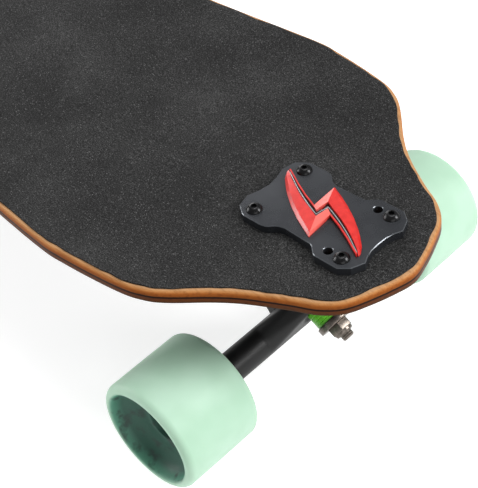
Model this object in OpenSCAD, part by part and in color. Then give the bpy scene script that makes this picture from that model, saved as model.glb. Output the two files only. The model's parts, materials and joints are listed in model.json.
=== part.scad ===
// Electric longboard skateboard: wooden deck, two reverse kingpin trucks,
// four urethane wheels, two hub motors at the tail and two cases under the deck.
// X runs along the board with the nose at +X, Y across it, Z up from the ground.

/* [Deck] */
// Overall length of the wooden deck
deck_length = 970; // [940:5:1040]
// Overall width of the wooden deck
deck_width = 229; // [222:1:236]
// Thickness of the plywood
deck_thickness = 10; // [9:0.5:12]
// How far the rails rise above the middle of the deck
deck_concave = 11; // [6:0.5:13]
// How far the middle of the deck rises above the truck mounts
deck_arch = 14; // [8:0.5:16]
// Distance from each end of the deck to the middle of its truck bolts
nose_length = 64; // [62:0.5:68]
// Thickness of the grip tape
grip_thickness = 1; // [0.8:0.1:1.2]

/* [Trucks] */
// Height of the grip tape above the ground, over the trucks
ride_height = 120; // [119:0.5:124]
// Distance of the axle inboard of the middle of the truck bolts
axle_back = 23; // [22:0.5:24]
// Slope of the kingpin below the horizontal, in degrees
kingpin_slope = 30; // [28:1:32]
// Angle of the steering axis above the horizontal, in degrees
steer_angle = 50; // [49:1:51]
// Half of the hanger's length, between the shoulders that the wheels butt on
hanger_half = 77.5; // [77:0.25:78]

/* [Wheels] */
// Diameter of the wheels
wheel_diameter = 71; // [70:0.5:72]
// Width of the wheels
wheel_width = 55; // [54:0.5:56]
// Distance from the middle of the board to the middle of a wheel
half_track = 102; // [101:0.5:103]

/* [Cases] */
// Depth of the battery case below its gasket
battery_depth = 34; // [32:1:38]
// Depth of the controller case below its gasket
controller_depth = 30; // [29:1:34]
// Width of both cases
case_width = 138; // [137:1:142]

/* [Hidden] */
$fn = 48;

axle_z = wheel_diameter / 2;
deck_top = ride_height - grip_thickness;
deck_bottom = deck_top - deck_thickness;
truck_x = deck_length / 2 - nose_length;

// the flat strip under the trucks and the bevel along the rail
flat_half = 28;
mount_flat = 45;
rail_bevel = 2.2;

// ---- deck surface ----
function arch(x) =
    let (d = truck_x - abs(x) - mount_flat, span = truck_x - mount_flat)
    d <= 0 ? 0 : deck_arch * (1 - cos(180 * d / span)) / 2;
function concave(y) =
    deck_concave * pow(max(abs(y) - flat_half, 0) / (deck_width / 2 - flat_half), 2);
function lift(x, y) = arch(x) + concave(y);

// half outline of the deck, from the nose to the middle: distance inboard of
// the tip and the half width, as a part of the greatest half width
mid_width = 0.86;
outline_keys = [
    [0, 0], [3, 0.12], [8, 0.245], [14, 0.355], [24, 0.437], [38, 0.5], [58, 0.603], [72, 0.702],
    [88, 0.848], [98, 0.912], [113, 0.955], [150, 0.997], [176, 1], [262, 0.935], [326, 0.905], [406, 0.874],
    [deck_length / 2, mid_width]];
function key_point(i) =
    i < 0 ? [outline_keys[1][0], -outline_keys[1][1]]
    : i >= len(outline_keys)
        ? let (k = outline_keys[len(outline_keys) - 2]) [deck_length - k[0], k[1]]
    : outline_keys[i];
function spline(p, q, r, s, t) =
    0.5 * (2 * q + (r - p) * t + (2 * p - 5 * q + 4 * r - s) * t * t
        + (3 * q - p - 3 * r + s) * t * t * t);
function to_plan(k) = [deck_length / 2 - k[0], k[1] * deck_width / 2];
outline_steps = 2;
nose_half = [
    for (i = [0:len(outline_keys) - 2]) for (j = [0:outline_steps - 1])
        if (i + j > 0) to_plan(spline(
            key_point(i - 1), key_point(i), key_point(i + 1), key_point(i + 2), j / outline_steps))];
half_outline = concat(nose_half, [[0, mid_width * deck_width / 2]],
    [for (i = [len(nose_half) - 1:-1:0]) [-nose_half[i][0], nose_half[i][1]]]);
rows = len(half_outline);
function unit(v) = v / norm(v);
function outline_tangent(i) =
    unit(half_outline[min(i + 1, rows - 1)] - half_outline[max(i - 1, 0)]);
// the outline moved inwards by the rail's bevel
function inset_point(i) =
    let (t = outline_tangent(i), n = [-t[1], t[0]], q = half_outline[i] + rail_bevel * n)
    [q[0], max(q[1], 0.6)];
inset_outline = [for (i = [0:rows - 1]) inset_point(i)];
across = 8;
function top_points(i, z) = [
    for (j = [0:across]) let (y = inset_outline[i][1] * (1 - 2 * j / across))
        [inset_outline[i][0], y, z + lift(inset_outline[i][0], y)]];
function rail_point(i, side, z) =
    [half_outline[i][0], side * half_outline[i][1], z + lift(half_outline[i][0], half_outline[i][1])];
function deck_ring(i) = concat(
    top_points(i, deck_top),
    [rail_point(i, -1, deck_top - rail_bevel), rail_point(i, -1, deck_bottom + rail_bevel)],
    [for (j = [across:-1:0]) top_points(i, deck_bottom)[j]],
    [rail_point(i, 1, deck_bottom + rail_bevel), rail_point(i, 1, deck_top - rail_bevel)]);
function slab_ring(i, low, high) =
    concat(top_points(i, high), [for (j = [across:-1:0]) top_points(i, low)[j]]);
// one end of a loft: strips between its two sides, or the whole ring where that is flat
function end_strips(n, first) = [
    for (i = [0:n / 2 - 2]) for (tri = [[i, i + 1, n - 2 - i], [i, n - 2 - i, n - 1 - i]])
        [for (k = tri) first + k]];
function turned(faces) = [for (f = faces) [for (k = [len(f) - 1:-1:0]) f[k]]];
// a closed solid over rings of equal length; with strips, its upper and lower
// sides are split along the same diagonals, so that one sheet lies flat on another
module loft(rings, strips = false) {
    n = len(rings[0]);
    last = (len(rings) - 1) * n;
    polyhedron(
        points = [for (r = rings) for (p = r) p],
        faces = concat(
            strips ? end_strips(n, 0) : [[for (j = [0:n - 1]) j]],
            [for (a = [0:n:last - n]) for (j = [0:n - 1]) let (k = (j + 1) % n)
                each strips && j >= n / 2
                    ? [[a + j, a + j + n, a + k], [a + k, a + j + n, a + k + n]]
                    : [[a + j, a + j + n, a + k + n], [a + j, a + k + n, a + k]]],
            turned(strips ? end_strips(n, last) : [[for (j = [0:n - 1]) last + j]])),
        convexity = 8);
}

// ---- truck mounts ----
bolt_dx = 31.75;
bolt_dy = 20.64;
spare_dx = 22.225;
bolt_r = 2.5;
hole_r = 2.75;
bolt_spots = [for (sx = [-1, 1]) for (sy = [-1, 1]) [sx * bolt_dx, sy * bolt_dy]];
spare_spots = [for (sy = [-1, 1]) [spare_dx, sy * bolt_dy]];
riser_thickness = 4;
base_thickness = 6;
base_top = deck_bottom - riser_thickness;
base_low = base_top - base_thickness;
plate_thickness = 5;
plate_gap = 0.1;
plate_top = ride_height + plate_thickness;

// puts local truck coordinates (x outboard) at the nose (1) or the tail (-1)
module at_truck(end) rotate([0, 0, end > 0 ? 0 : 180]) translate([truck_x, 0, 0]) children();
module holes(spots, r) for (p = spots) translate([p[0], p[1], 0]) circle(r = r);
module rounded_rect(x, y, r) hull() for (sx = [-1, 1]) for (sy = [-1, 1])
    translate([sx * (x / 2 - r), sy * (y / 2 - r)]) circle(r = r);

// ---- steering geometry, local to a truck ----
ring_x = -12.5;
ring_z = axle_z + 14.5;
ring_half = 5;
bushing_r = 10;
board_bushing_length = 14;
road_bushing_length = 12.5;
washer_thickness = 2.5;
washer_r = 11.2;
kingpin_r = 4;
seat_s = -(ring_half + board_bushing_length + washer_thickness);
nut_s = ring_half + road_bushing_length + washer_thickness;
nut_length = 7.5;
nut_r = 7.5;
pin_tip_s = nut_s + nut_length + 3.5;
head_s = seat_s - 14;
beam_r = 9.6;
mouth_s = 28;
nose_r = 5;
nose_end_s = 36;
cup_r = 6.8;
boss_r = 8.7;
boss_end_s = 39;
fit_gap = 0.05;
// along the kingpin, towards the nut, from the middle of the hanger's ring
module on_kingpin() translate([ring_x, 0, ring_z]) rotate([0, 90 + kingpin_slope, 0]) children();
// along the steering axis, towards the pivot, from the same point
module on_pivot() translate([ring_x, 0, ring_z]) rotate([0, 270 - steer_angle, 0]) children();
// along an axle, outwards on one side
module on_axle(side) translate([-axle_back, 0, axle_z]) rotate([-90 * side, 0, 0]) children();
module tube(r_in, r_out, z0, z1) translate([0, 0, z0]) difference() {
    cylinder(r = r_out, h = z1 - z0);
    translate([0, 0, -1]) cylinder(r = r_in, h = z1 - z0 + 2);
}

// ---- wheels ----
axle_r = 4;
bearing_r = 11;
bearing_w = 7;
speed_ring = 1;
spacer_length = 8;
bearing_1 = hanger_half + speed_ring;
bearing_2 = bearing_1 + bearing_w + spacer_length;
front_nut_y = bearing_2 + bearing_w + speed_ring;
axle_nut_length = 8;
wheel_in = half_track - wheel_width / 2;
wheel_out = half_track + wheel_width / 2;
core_r = 16;
core_out = bearing_2 + bearing_w + 2;
bowl_depth = 13;
lip = 4.6;
function arc(c, r, a0, a1, n = 6) =
    [for (i = [0:n]) let (a = a0 + (a1 - a0) * i / n) [c[0] + r * cos(a), c[1] + r * sin(a)]];

// ---- rear motors ----
motor_axle_r = 5;
rotor_r = 28;
rotor_wall = 2.6;
rotor_in = wheel_in + 2;
rotor_out = wheel_out - 2;
rear_hanger_half = 72;
motor_bearing_w = 6;
motor_bearing_1 = rotor_in + 1.5;
motor_bearing_2 = rotor_out - 9.5;
stator_in = motor_bearing_1 + motor_bearing_w + 5;
stator_out = motor_bearing_2 - 5;
stator_r = 23.2;
magnet_r = 24;
magnets = 14;
teeth = 12;

// ---- cases ----
gasket = 2.5;
flange = 3;
wall = 2.5;
flange_width = 8;
flange_y = case_width + 2 * flange_width;
case_corner = 14;
flange_corner = 18;
battery_x = [-15, 295];
controller_x = [-310, -110];
function under(x) = deck_bottom + arch(x) - gasket;
case_screw_y = case_width / 2 + flange_width / 2;
function screw_row(x, n) = [for (i = [0:n - 1]) x[0] + 14 + i * (x[1] - x[0] - 28) / (n - 1)];
case_screw_spots = [
    for (sy = [-1, 1]) for (x = concat(screw_row(battery_x, 5), screw_row(controller_x, 4)))
        [x, sy * case_screw_y]];
screw_r = 2;
screw_clear = 0.2;
heat_x = -255;
heat_length = 71.6;
heat_width = 55.6;
button_x = -145;
port_x = -185;
lens_x = -215;
side_y = case_width / 2;
function side_z(x) = under(x) - controller_depth / 2 - 1;
button_r = 7;
button_travel = 1.2;
cap_gap = 0.15;
port_r = 8.5;
hinge_x = 11.5;
jack_r = 2.8;
jack_length = 10;

// a side profile that follows the arch, between two heights below the gasket
module band(x, low, high, width, steps = 12) rotate([90, 0, 0])
    linear_extrude(width, center = true) polygon(concat(
        [for (i = [0:steps]) let (p = x[0] + (x[1] - x[0]) * i / steps) [p, under(p) + high]],
        [for (i = [steps:-1:0]) let (p = x[0] + (x[1] - x[0]) * i / steps) [p, under(p) + low]]));
module plan(x, width, r) translate([(x[0] + x[1]) / 2, 0, 50]) linear_extrude(100)
    rounded_rect(x[1] - x[0], width, r);
function grown(x) = [x[0] - flange_width, x[1] + flange_width];
module case_shell(x, depth) {
    difference() {
        union() {
            intersection() {
                band(x, -depth, -1, case_width);
                plan(x, case_width, case_corner);
            }
            intersection() {
                band(grown(x), -flange, 0, flange_y);
                plan(grown(x), flange_y, flange_corner);
            }
        }
        intersection() {
            band(x, wall - depth, 2, case_width);
            plan([x[0] + wall, x[1] - wall], case_width - 2 * wall, case_corner - wall);
        }
        case_screw_holes();
    }
}
module case_screw_holes() for (p = case_screw_spots)
    translate([p[0], p[1], under(p[0]) - 10]) cylinder(r = screw_r + screw_clear, h = 24);
// everything above the deck's underside, lowered a little
module deck_space(x, drop) {
    steps = 12;
    half = case_width / 2 + flange_width + 4;
    loft([for (i = [0:steps]) let (p = x[0] + (x[1] - x[0]) * i / steps) concat(
        [for (s = [1, -1]) [p, s * half, 170]],
        [for (j = [-6:6]) let (y = half * j / 6) [p, y, deck_bottom + lift(p, y) - drop]])]);
}

// a tube of given radius swept along a route
function route_tangent(p, i) = unit(p[min(i + 1, len(p) - 1)] - p[max(i - 1, 0)]);
module cable(route, r, sides = 10) loft([for (i = [0:len(route) - 1]) let (
        t = route_tangent(route, i), u = unit(cross(t, [0, 0, 1])), v = cross(t, u))
    [for (k = [0:sides - 1]) route[i] + r * (cos(360 * k / sides) * u - sin(360 * k / sides) * v)]]);

// ================= deck body =================
module deck() color("BurlyWood") difference() {
    loft([for (i = [0:rows - 1]) deck_ring(i)], strips = true);
    deck_holes();
}
module deck_holes() for (end = [-1, 1]) at_truck(end) for (p = concat(bolt_spots, spare_spots))
    translate([p[0], p[1], deck_bottom - 10]) cylinder(r = hole_r, h = 40);
module grip_tape() color("DimGray") difference() {
    loft([for (i = [0:rows - 1]) slab_ring(i, deck_top + fit_gap, ride_height)], strips = true);
    deck_holes();
}
// half of it: concave end, chamfered ears, waist and rounded ears
module plate_outline() {
    half = [
        [40, 0], [40.3, 6], [41.6, 11], [43.8, 15.5], [40.5, 23.5], [34.5, 28], [18, 28], [12, 22.6],
        [-8, 21.8], [-12.5, 23], [-17, 27.2], [-20, 28], [-34, 28], [-41, 23], [-43, 14.5], [-40.6, 7],
        [-39.6, 0]];
    polygon(concat(half, [for (i = [len(half) - 2:-1:1]) [half[i][0], -half[i][1]]]));
}
module top_plate() color("DarkSlateGray") translate([0, 0, ride_height + plate_gap])
    linear_extrude(plate_thickness - plate_gap) difference() {
        plate_outline();
        holes(concat(bolt_spots, spare_spots), hole_r);
    }
module front_top_plate() at_truck(1) top_plate();
module rear_top_plate() at_truck(-1) top_plate();
// lightning sign of two equal blades, one turned half round from the other, with a groove between them
emblem_height = 3;
groove_floor = 1.3;
blade_half = [
    [37.9, -15], [38.2, -12.6], [35, -8], [29.3, -2.6], [25.5, 0.6], [17, 6.7], [7.5, 12.3], [0.4, 15.8],
    [-7.5, 19.4], [-6.2, 0.5], [-15.3, 4.1], [-25, 8.7]];
groove_half = [
    [-1.3, 6.4], [4.9, 3.8], [9.8, 1.9], [14.2, 0], [19.5, -2.6], [25, -5.7], [30.5, -9], [35.8, -12.6],
    [36.2, -13.6], [30.6, -10.9], [25.4, -7.9], [15.6, -3.3], [6.6, 0.4], [2.2, 2.4]];
module both_ways(half) polygon([for (turn = [1, -1]) for (p = half) turn * p]);
module emblem() color("Red") translate([0, 0, plate_top]) difference() {
    linear_extrude(emblem_height) both_ways(blade_half);
    translate([0, 0, groove_floor]) linear_extrude(emblem_height) both_ways(groove_half);
}
module front_emblem() at_truck(1) emblem();
module rear_emblem() at_truck(-1) emblem();

bolt_tip = base_low - 7;
module mount_bolts() color("Black") for (end = [-1, 1]) at_truck(end) for (p = bolt_spots)
    translate([p[0], p[1], 0]) difference() {
        union() {
            translate([0, 0, bolt_tip]) cylinder(r = bolt_r, h = plate_top - bolt_tip + 0.5);
            translate([0, 0, plate_top]) rotate_extrude() polygon([
                [0, 0], [4.75, 0], [4.7, 0.5], [4.2, 1.5], [3.3, 2.3], [2.4, 2.75], [0, 2.75]]);
        }
        translate([0, 0, plate_top + 1]) cylinder(r = 1.75, h = 3, $fn = 6);
    }
module mount_nuts() color("Silver") for (end = [-1, 1]) at_truck(end) for (p = bolt_spots)
    translate([p[0], p[1], base_low - 5]) difference() {
        cylinder(r = 4.6, h = 5, $fn = 6);
        translate([0, 0, -1]) cylinder(r = bolt_r, h = 7);
    }
module riser_pads() color("Gray") for (end = [-1, 1]) at_truck(end)
    translate([0, 0, base_top]) linear_extrude(riser_thickness) difference() {
        rounded_rect(86, 58, 5);
        holes(concat(bolt_spots, spare_spots), hole_r);
    }
base_wall = 30;
module baseplate() color("DarkGray") difference() {
    union() {
        translate([0, 0, base_low]) linear_extrude(base_thickness) difference() {
            rounded_rect(84, 56, 5);
            holes(concat(bolt_spots, spare_spots), hole_r);
        }
        rotate([90, 0, 0]) linear_extrude(base_wall, center = true) polygon([
            [-41, base_top - 1], [-49, 82], [-49, 56], [-38.1, 48.6], [-23.1, 74.6], [-2, base_top - 1]]);
        rotate([90, 0, 0]) linear_extrude(2 * boss_r, center = true) polygon([
            [-49, 60], [-47.5, 34], [-46.5, 28], [-44, 24], [-40, 19], [-36, 31], [-40.5, 38],
            [-38.1, 48.6], [-36, 53]]);
        on_pivot() translate([0, 0, mouth_s]) cylinder(r = boss_r, h = boss_end_s - mouth_s);
    }
    on_kingpin() translate([0, 0, -60]) cylinder(r = kingpin_r + 0.02, h = 80);
    on_kingpin() translate([0, 0, -70]) cylinder(r = 8.6, h = 70 + head_s);
    on_kingpin() translate([0, 0, seat_s]) cylinder(r = 12.5, h = 30);
    on_pivot() translate([0, 0, 0]) cylinder(r = cup_r, h = boss_end_s - 1.2);
}
module front_baseplate() at_truck(1) baseplate();
module rear_baseplate() at_truck(-1) baseplate();
module pivot_cups() color("DarkOrange") for (end = [-1, 1]) at_truck(end) on_pivot() difference() {
    translate([0, 0, mouth_s]) cylinder(r = cup_r, h = boss_end_s - 1.2 - mouth_s);
    translate([0, 0, mouth_s - 1]) cylinder(r = nose_r + fit_gap, h = nose_end_s + 0.1 - mouth_s + 1);
}
module kingpins() color("Silver") for (end = [-1, 1]) at_truck(end) on_kingpin() {
    translate([0, 0, head_s - 5.5]) cylinder(r = 7.4, h = 5.5, $fn = 6);
    translate([0, 0, head_s - 1]) cylinder(r = kingpin_r, h = pin_tip_s - head_s + 1);
}
module kingpin_nuts() color("Silver") for (end = [-1, 1]) at_truck(end) on_kingpin() difference() {
    union() {
        translate([0, 0, nut_s]) cylinder(r = nut_r, h = 5.5, $fn = 6);
        translate([0, 0, nut_s + 5]) cylinder(r = 5.9, h = nut_length - 5);
    }
    cylinder(r = kingpin_r, h = 40);
}
module cup_washer() rotate_extrude() polygon([
    [kingpin_r, 0], [washer_r, 0], [washer_r, washer_thickness + 1.6],
    [washer_r - 0.8, washer_thickness + 1.6], [washer_r - 1, washer_thickness],
    [kingpin_r, washer_thickness]]);
module cup_washers() color("Silver") for (end = [-1, 1]) at_truck(end) on_kingpin() {
    translate([0, 0, seat_s]) cup_washer();
    translate([0, 0, nut_s]) mirror([0, 0, 1]) cup_washer();
}
module board_bushing() color("Green") on_kingpin()
    tube(kingpin_r + fit_gap, bushing_r, -ring_half - board_bushing_length, -ring_half);
module road_bushing() color("Green") on_kingpin()
    tube(kingpin_r + fit_gap, bushing_r, ring_half, ring_half + road_bushing_length);
module front_board_bushing() at_truck(1) board_bushing();
module front_road_bushing() at_truck(1) road_bushing();
module rear_board_bushing() at_truck(-1) board_bushing();
module rear_road_bushing() at_truck(-1) road_bushing();

// ================= hangers =================
module hanger(half, bore) color("DimGray") difference() {
    union() {
        on_axle(1) translate([0, 0, -half]) cylinder(r = beam_r, h = 2 * half);
        hull() {
            on_axle(1) translate([0, 0, -38]) cylinder(r = beam_r, h = 76, $fn = 32);
            on_kingpin() translate([0, 0, -ring_half]) cylinder(r = 15, h = 2 * ring_half, $fn = 32);
        }
        on_pivot() translate([0, 0, 14]) cylinder(r = 7.6, h = mouth_s - 0.6 - 14);
        on_pivot() translate([0, 0, 14]) cylinder(r = nose_r, h = nose_end_s - 14);
    }
    on_kingpin() translate([0, 0, -20]) cylinder(r = kingpin_r + 3, h = 40);
    on_kingpin() translate([0, 0, ring_half]) cylinder(r = 13.2, h = 40);
    on_kingpin() translate([0, 0, -ring_half - 40]) cylinder(r = 13.2, h = 40);
    on_axle(1) translate([0, 0, -half - 1]) cylinder(r = bore, h = 2 * half + 2);
    // keeps the beam off the mouth of the pivot housing
    on_pivot() translate([0, 0, mouth_s - 0.6]) difference() {
        cylinder(r = 24, h = 20);
        translate([0, 0, -1]) cylinder(r = nose_r, h = 22);
    }
}
module front_hanger() at_truck(1) hanger(hanger_half, axle_r);
module rear_hanger() difference() {
    union() {
        at_truck(-1) hanger(rear_hanger_half, motor_axle_r);
        color("DimGray") for (turn = [0, 1]) mirror([0, turn, 0])
            rod(cable_end, cable_end_way, 4.4, 10);
    }
    at_truck(-1) on_axle(1) translate([0, 0, -wheel_out]) cylinder(r = motor_axle_r, h = 2 * wheel_out);
}
front_axle_half = front_nut_y + axle_nut_length + 2;
rear_axle_half = wheel_out - 4;
module front_axle() color("Silver") at_truck(1) on_axle(1) translate([0, 0, -front_axle_half])
    cylinder(r = axle_r, h = 2 * front_axle_half);
module rear_axle() color("Silver") at_truck(-1) on_axle(1) translate([0, 0, -rear_axle_half])
    cylinder(r = motor_axle_r, h = 2 * rear_axle_half);
module axle_nut(r, r_out, z, h) translate([0, 0, z]) difference() {
    cylinder(r = r_out, h = h, $fn = 6);
    translate([0, 0, -1]) cylinder(r = r, h = h + 2);
}
module front_axle_nuts() color("DarkGray") at_truck(1) for (side = [-1, 1]) on_axle(side)
    axle_nut(axle_r, 7.5, front_nut_y, axle_nut_length);
module rear_axle_nuts() color("DarkGray") at_truck(-1) for (side = [-1, 1]) on_axle(side)
    axle_nut(motor_axle_r, 8, motor_bearing_2 + motor_bearing_w, 3.2);
race_in = 6;
module front_axle_spacers() color("Silver") at_truck(1) for (side = [-1, 1]) on_axle(side) {
    tube(axle_r, 5.6, hanger_half, bearing_1);
    tube(axle_r, race_in, bearing_1, bearing_1 + bearing_w);
    tube(axle_r, 5.4, bearing_1 + bearing_w, bearing_2);
    tube(axle_r, race_in, bearing_2, bearing_2 + bearing_w);
    tube(axle_r, 5.6, bearing_2 + bearing_w, front_nut_y);
}
module rear_axle_spacers() color("Silver") at_truck(-1) for (side = [-1, 1]) on_axle(side) {
    tube(motor_axle_r, 6.4, rear_hanger_half, motor_bearing_1);
    tube(motor_axle_r, 6.9, motor_bearing_1, motor_bearing_1 + motor_bearing_w);
    tube(motor_axle_r, 6.9, motor_bearing_2, motor_bearing_2 + motor_bearing_w);
}

// ================= front wheels =================
// both tyres: a rounded tread around whatever is given for the inner side
module tyre_solid(inner) rotate_extrude() polygon(concat(
    arc([axle_z - lip, wheel_out - lip], lip, 0, 90),
    inner,
    arc([axle_z - lip, wheel_in + lip], lip, -90, 0)));
// radius and depth of the bowl round the hub
bowl_rim = [[30.1, 0.5], [29.5, 1.8], [28.9, 4], [27.9, 6.5], [25.6, 9.6], [21.6, 12], [17, bowl_depth]];
module front_tyre() color("Aquamarine") tyre_solid(concat(
    [for (p = bowl_rim) [p[0], wheel_out - p[1]]],
    [[bearing_r + 0.2, wheel_out - bowl_depth], [bearing_r + 0.2, core_out], [core_r, core_out],
     [core_r, wheel_in + 3], [24, wheel_in + 1.5], [27, wheel_in]]));
module front_core() color("White") difference() {
    translate([0, 0, wheel_in + 3]) cylinder(r = core_r, h = core_out - wheel_in - 3);
    translate([0, 0, wheel_in]) cylinder(r = bearing_r, h = bearing_1 + bearing_w - wheel_in);
    translate([0, 0, wheel_in]) cylinder(r = bearing_r - 2.4, h = 60);
    translate([0, 0, bearing_2]) cylinder(r = bearing_r, h = 20);
}
module bearing_outer(z, w, r_out, gap) tube(gap, r_out, z, z + w);
module front_bearings() color("Gray") {
    bearing_outer(bearing_1, bearing_w, bearing_r, race_in + fit_gap);
    bearing_outer(bearing_2, bearing_w, bearing_r, race_in + fit_gap);
}
module front_left_tyre() at_truck(1) on_axle(1) front_tyre();
module front_left_core() at_truck(1) on_axle(1) front_core();
module front_left_bearings() at_truck(1) on_axle(1) front_bearings();
module front_right_tyre() at_truck(1) on_axle(-1) front_tyre();
module front_right_core() at_truck(1) on_axle(-1) front_core();
module front_right_bearings() at_truck(1) on_axle(-1) front_bearings();

// ================= rear hub motors =================
module rear_tyre() color("Aquamarine") tyre_solid([
    [rotor_r + 1.2, wheel_out], [rotor_r, wheel_out - 1.2],
    [rotor_r, wheel_in + 1.2], [rotor_r + 1.2, wheel_in]]);
module magnet_ring() difference() {
    tube(magnet_r, rotor_r - rotor_wall + 0.01, stator_in, stator_out);
    for (i = [0:magnets - 1]) rotate([0, 0, 360 * i / magnets]) translate([20, -0.6, stator_in - 1])
        cube([rotor_r - rotor_wall - 20.02, 1.2, 60]);
}
module rotor() color("DarkGray") {
    magnet_ring();
    rotor_can();
}
module rotor_can() difference() {
    translate([0, 0, rotor_in]) cylinder(r = rotor_r, h = rotor_out - rotor_in);
    translate([0, 0, rotor_in + 4]) cylinder(r = 16, h = rotor_out);
    translate([0, 0, rotor_in + 6]) cylinder(r = rotor_r - rotor_wall, h = rotor_out);
    translate([0, 0, motor_bearing_1]) cylinder(r = bearing_r, h = rotor_out);
    translate([0, 0, rotor_in - 1]) cylinder(r = 9, h = 20);
    translate([0, 0, rotor_out - 4]) cylinder(r = rotor_r - 1.4, h = 10);
}
module motor_cover() color("Black") difference() {
    union() {
        translate([0, 0, rotor_out - 4]) cylinder(r = rotor_r - 1.4, h = 4);
        translate([0, 0, motor_bearing_2 - 1])
            cylinder(r = bearing_r + 3, h = rotor_out - motor_bearing_2 + 1);
    }
    translate([0, 0, motor_bearing_2 - 2]) cylinder(r = 9, h = 30);
    translate([0, 0, motor_bearing_2]) cylinder(r = bearing_r, h = 30);
    for (i = [0:5]) rotate([0, 0, 60 * i]) translate([20, 0, rotor_out - 1.5]) cylinder(r = 2, h = 5);
}
module motor_bearings() color("Silver") {
    bearing_outer(motor_bearing_1, motor_bearing_w, bearing_r, 6.9 + fit_gap);
    bearing_outer(motor_bearing_2, motor_bearing_w, bearing_r, 6.9 + fit_gap);
}
module stator() difference() {
    union() {
        translate([0, 0, stator_in]) cylinder(r = 12, h = stator_out - stator_in);
        for (i = [0:teeth - 1]) rotate([0, 0, 360 * i / teeth]) {
            translate([11, -1.6, stator_in]) cube([11, 3.2, stator_out - stator_in]);
            translate([0, 0, stator_in]) intersection() {
                difference() {
                    cylinder(r = stator_r, h = stator_out - stator_in);
                    translate([0, 0, -1]) cylinder(r = stator_r - 2.2, h = 60);
                }
                translate([10, -5, 0]) cube([20, 10, stator_out - stator_in]);
            }
        }
    }
    translate([0, 0, stator_in - 1]) cylinder(r = motor_axle_r, h = 60);
}
module motor_stators() color("SlateGray") at_truck(-1) for (side = [-1, 1]) on_axle(side) stator();
module motor_windings() color("Chocolate") at_truck(-1) for (side = [-1, 1]) on_axle(side)
    for (i = [0:teeth - 1]) rotate([0, 0, 360 * i / teeth]) difference() {
        translate([12.6, -2.9, stator_in - 2.4]) cube([8, 5.8, stator_out - stator_in + 4.8]);
        translate([10, -1.65, stator_in - 0.05]) cube([14, 3.3, stator_out - stator_in + 0.1]);
        for (turn = [-1, 1]) rotate([0, 0, turn * 180 / teeth]) translate([10, turn > 0 ? -0.1 : -20, 0])
            translate([0, 0, stator_in - 5]) cube([20, 20.1, 60]);
    }
module rear_left_tyre() at_truck(-1) on_axle(-1) rear_tyre();
module rear_left_rotor() at_truck(-1) on_axle(-1) rotor();
module rear_left_cover() at_truck(-1) on_axle(-1) motor_cover();
module rear_left_bearings() at_truck(-1) on_axle(-1) motor_bearings();
module rear_right_tyre() at_truck(-1) on_axle(1) rear_tyre();
module rear_right_rotor() at_truck(-1) on_axle(1) rotor();
module rear_right_cover() at_truck(-1) on_axle(1) motor_cover();
module rear_right_bearings() at_truck(-1) on_axle(1) motor_bearings();

// left cable from its gland on the controller case to the hanger's arm; the right one mirrors it
cable_r = 3;
cable_route = [
    [-310, 40, 93], [-318, 40, 93], [-326, 40.2, 92.6], [-334, 40.8, 91], [-342, 41.6, 88],
    [-350, 42.4, 83], [-358, 43.4, 76.5], [-366, 44.6, 69.5], [-374, 46, 62.5], [-381, 47.6, 56.2],
    [-386, 49, 51], [-389.5, 49.9, 46.4]];
cable_end = cable_route[len(cable_route) - 1];
cable_end_way = unit(cable_end - cable_route[len(cable_route) - 2]);
// a rod from a point along a direction
module rod(p, way, r, h) translate(p) rotate([0, acos(way[2]), atan2(way[1], way[0])])
    cylinder(r = r, h = h);
module left_motor_cable() color("Black") cable(cable_route, cable_r);
module right_motor_cable() color("Black")
    cable([for (p = cable_route) [p[0], -p[1], p[2]]], cable_r);

// ================= battery and controller =================
module battery_case() color("DimGray") difference() {
    case_shell(battery_x, battery_depth);
    link_hole();
}
link_z = under((battery_x[0] + controller_x[1]) / 2) - 13;
module link_hole() translate([link_from - 20, 0, link_z]) rotate([0, 90, 0]) cylinder(r = 6, h = 140);
gland_z = 93;
gland_y = 40;
link_from = controller_x[1];
link_to = battery_x[0];
// along +X or -X from a case's end wall
module on_end(x, y, z, way) translate([x, y, z]) rotate([0, 90 * way, 0]) children();
link_cable_r = 4.2;
module link_cable() color("Black") on_end(link_from - 6, 0, link_z, 1)
    cylinder(r = link_cable_r, h = link_to - link_from + 12);
module gland(bore, r) difference() {
    union() {
        translate([0, 0, -wall]) cylinder(r = r, h = wall + 1);
        cylinder(r = r + 2.2, h = 4, $fn = 6);
        cylinder(r = r, h = 7);
        translate([0, 0, -wall - 2.5]) cylinder(r = r + 2.2, h = 2.5, $fn = 6);
    }
    translate([0, 0, -20]) cylinder(r = bore, h = 40);
}
module cable_glands() color("Black") {
    on_end(link_from, 0, link_z, 1) gland(link_cable_r, 6);
    on_end(link_to, 0, link_z, -1) gland(link_cable_r, 6);
    for (side = [-1, 1]) on_end(controller_x[0], side * gland_y, gland_z, -1) gland(cable_r + 0.05, 4.5);
}
cell_r = 9.1;
cell_pitch = 18.8;
function cell_z(x) = under(x) - battery_depth + wall + 1 + cell_r + 0.4;
module battery_cells() color("RoyalBlue") for (i = [0:9]) for (side = [-1, 1])
    let (x = 12 + i * cell_pitch) translate([x, side * 0.5, cell_z(x)]) rotate([-90 * side, 0, 0])
        cylinder(r = cell_r, h = 65);
board_thickness = 1.6;
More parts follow.
